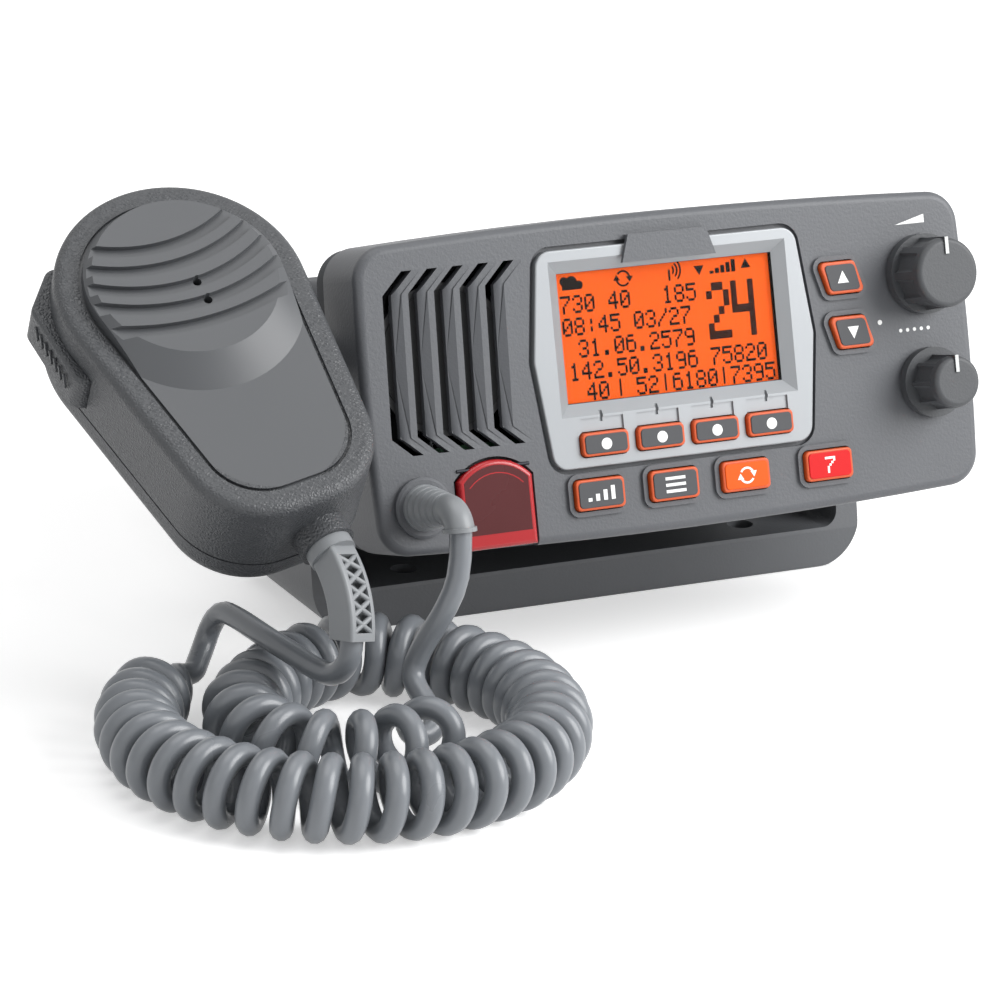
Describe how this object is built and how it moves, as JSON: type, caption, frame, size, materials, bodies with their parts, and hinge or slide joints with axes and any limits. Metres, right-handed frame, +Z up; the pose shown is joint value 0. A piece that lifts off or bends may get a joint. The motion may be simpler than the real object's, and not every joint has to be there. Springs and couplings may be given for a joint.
{
  "type": "marine vhf radio",
  "caption": "Fixed-mount marine radio tilted in a gimbal bracket, with a fist microphone on a curly cord coiled beside it",
  "frame": {"origin": "centre of the gimbal bracket's underside, on the surface it stands on", "axes": "+X to the right of the face, +Y from the face to the back, +Z up"},
  "size_m": [0.2421, 0.2352, 0.1148],
  "materials": {
    "case_black": "satin powder coat",
    "panel_charcoal": "fine texture",
    "bezel_silver": "satin metallic paint",
    "window": "clear",
    "lcd": "lit display",
    "key_grey": "satin",
    "key_orange": "satin",
    "key_red": "satin",
    "cover_red": "clear red",
    "button_red": "gloss",
    "knob_black": "satin",
    "gasket": "matte",
    "steel": "satin",
    "brass": "turned",
    "chrome": "bright",
    "aluminium": "black anodised",
    "board": "solder mask",
    "component": "moulded",
    "cloth": "woven",
    "bracket_black": "fine texture",
    "cord_grey": "satin",
    "mic_charcoal": "leather grain"
  },
  "bodies": {
    "radio": {"front_panel": "panel_charcoal", "panel_gasket": "gasket", "rear_case": "case_black", "heat_sink": "aluminium", "lcd_bezel": "bezel_silver", "lcd_window": "window", "lcd_module": "lcd", "speaker_driver": "component", "speaker_membrane": "cloth", "front_board": "board", "main_board": "board", "rf_shield": "steel", "power_module": "component", "key_switches": "component", "distress_cover_pin": "steel", "distress_cover_spring": "steel", "volume_encoder": "steel", "squelch_encoder": "steel", "cord_gland": "knob_black", "cord_boot": "cord_grey", "panel_screws": "steel", "gimbal_inserts": "brass", "antenna_socket": "chrome", "power_gland": "knob_black", "tilt_washers": "gasket", "microphone_hanger": "steel", "hanger_screws": "steel", "microphone_front_shell": "mic_charcoal", "microphone_back_shell": "mic_charcoal", "microphone_screws": "steel", "microphone_capsule": "component", "microphone_board": "board", "ptt_switch": "component", "hang_up_stud": "steel", "microphone_strain_relief": "cord_grey", "radio_lead": "cord_grey", "cord_coil": "cord_grey", "microphone_lead": "cord_grey"},
    "bracket": {"gimbal_bracket": "bracket_black"},
    "left_gimbal_knob": {"gimbal_knob_left": "bracket_black", "gimbal_stud_left": "steel"},
    "right_gimbal_knob": {"gimbal_knob_right": "bracket_black", "gimbal_stud_right": "steel"},
    "volume_dial": {"volume_knob": "knob_black", "volume_shaft": "steel"},
    "squelch_dial": {"squelch_knob": "knob_black", "squelch_shaft": "steel"},
    "distress_flap": {"distress_cover": "cover_red"},
    "distress_plunger": {"distress_button": "button_red"},
    "transmit_bar": {"ptt_button": "mic_charcoal"},
    "soft_key_a_cap": {"soft_key_a": "key_grey"},
    "soft_key_b_cap": {"soft_key_b": "key_grey"},
    "soft_key_c_cap": {"soft_key_c": "key_grey"},
    "soft_key_d_cap": {"soft_key_d": "key_grey"},
    "power_level_key_cap": {"power_level_key": "key_grey"},
    "menu_key_cap": {"menu_key": "key_grey"},
    "scan_key_cap": {"scan_key": "key_orange"},
    "priority_key_cap": {"priority_key": "key_red"},
    "channel_up_key_cap": {"channel_up_key": "key_grey"},
    "channel_down_key_cap": {"channel_down_key": "key_grey"}
  },
  "joints": [
    {"name": "bracket_tilt", "type": "hinge", "parent": "radio", "child": "bracket", "pos_m": [0, 0, 0.0523], "axis": [1, 0, 0], "range_deg": [-27, 6]},
    {"name": "left_knob_turn", "type": "hinge", "parent": "radio", "child": "left_gimbal_knob", "pos_m": [-0.0805, 0, 0.0523], "axis": [-1, 0, 0], "range_deg": [0, 360]},
    {"name": "right_knob_turn", "type": "hinge", "parent": "radio", "child": "right_gimbal_knob", "pos_m": [0.0805, 0, 0.0523], "axis": [1, 0, 0], "range_deg": [0, 360]},
    {"name": "volume_turn", "type": "hinge", "parent": "radio", "child": "volume_dial", "pos_m": [0.0672, -0.05875, 0.0852], "axis": [0, 0.9636, -0.2672], "range_deg": [-150, 150]},
    {"name": "squelch_turn", "type": "hinge", "parent": "radio", "child": "squelch_dial", "pos_m": [0.0672, -0.06569, 0.06014], "axis": [0, 0.9636, -0.2672], "range_deg": [-150, 150]},
    {"name": "distress_flap_lift", "type": "hinge", "parent": "radio", "child": "distress_flap", "pos_m": [-0.0497, -0.0677, 0.05291], "axis": [-1, 0, 0], "range_deg": [0, 100], "stiffness_Nm_per_rad": 0.002, "springref_deg": -28.65},
    {"name": "distress_press", "type": "slide", "parent": "radio", "child": "distress_plunger", "axis": [0, 0.9636, -0.2672], "range_m": [0, 0.001], "stiffness_N_per_m": 900, "springref_m": -0.0005},
    {"name": "transmit_press", "type": "slide", "parent": "radio", "child": "transmit_bar", "axis": [0.9791, 0.0788, 0.1874], "range_m": [0, 0.0012], "stiffness_N_per_m": 1500, "springref_m": -0.0004},
    {"name": "soft_key_a_press", "type": "slide", "parent": "radio", "child": "soft_key_a_cap", "axis": [0, 0.9636, -0.2672], "range_m": [0, 0.0006], "stiffness_N_per_m": 1800, "springref_m": -0.0003},
    {"name": "soft_key_b_press", "type": "slide", "parent": "radio", "child": "soft_key_b_cap", "axis": [0, 0.9636, -0.2672], "range_m": [0, 0.0006], "stiffness_N_per_m": 1800, "springref_m": -0.0003},
    {"name": "soft_key_c_press", "type": "slide", "parent": "radio", "child": "soft_key_c_cap", "axis": [0, 0.9636, -0.2672], "range_m": [0, 0.0006], "stiffness_N_per_m": 1800, "springref_m": -0.0003},
    {"name": "soft_key_d_press", "type": "slide", "parent": "radio", "child": "soft_key_d_cap", "axis": [0, 0.9636, -0.2672], "range_m": [0, 0.0006], "stiffness_N_per_m": 1800, "springref_m": -0.0003},
    {"name": "power_level_key_press", "type": "slide", "parent": "radio", "child": "power_level_key_cap", "axis": [0, 0.9636, -0.2672], "range_m": [0, 0.0006], "stiffness_N_per_m": 1800, "springref_m": -0.0003},
    {"name": "menu_key_press", "type": "slide", "parent": "radio", "child": "menu_key_cap", "axis": [0, 0.9636, -0.2672], "range_m": [0, 0.0006], "stiffness_N_per_m": 1800, "springref_m": -0.0003},
    {"name": "scan_key_press", "type": "slide", "parent": "radio", "child": "scan_key_cap", "axis": [0, 0.9636, -0.2672], "range_m": [0, 0.0006], "stiffness_N_per_m": 1800, "springref_m": -0.0003},
    {"name": "priority_key_press", "type": "slide", "parent": "radio", "child": "priority_key_cap", "axis": [0, 0.9636, -0.2672], "range_m": [0, 0.0006], "stiffness_N_per_m": 1800, "springref_m": -0.0003},
    {"name": "channel_up_key_press", "type": "slide", "parent": "radio", "child": "channel_up_key_cap", "axis": [0, 0.9636, -0.2672], "range_m": [0, 0.0006], "stiffness_N_per_m": 1800, "springref_m": -0.0003},
    {"name": "channel_down_key_press", "type": "slide", "parent": "radio", "child": "channel_down_key_cap", "axis": [0, 0.9636, -0.2672], "range_m": [0, 0.0006], "stiffness_N_per_m": 1800, "springref_m": -0.0003}
  ]
}
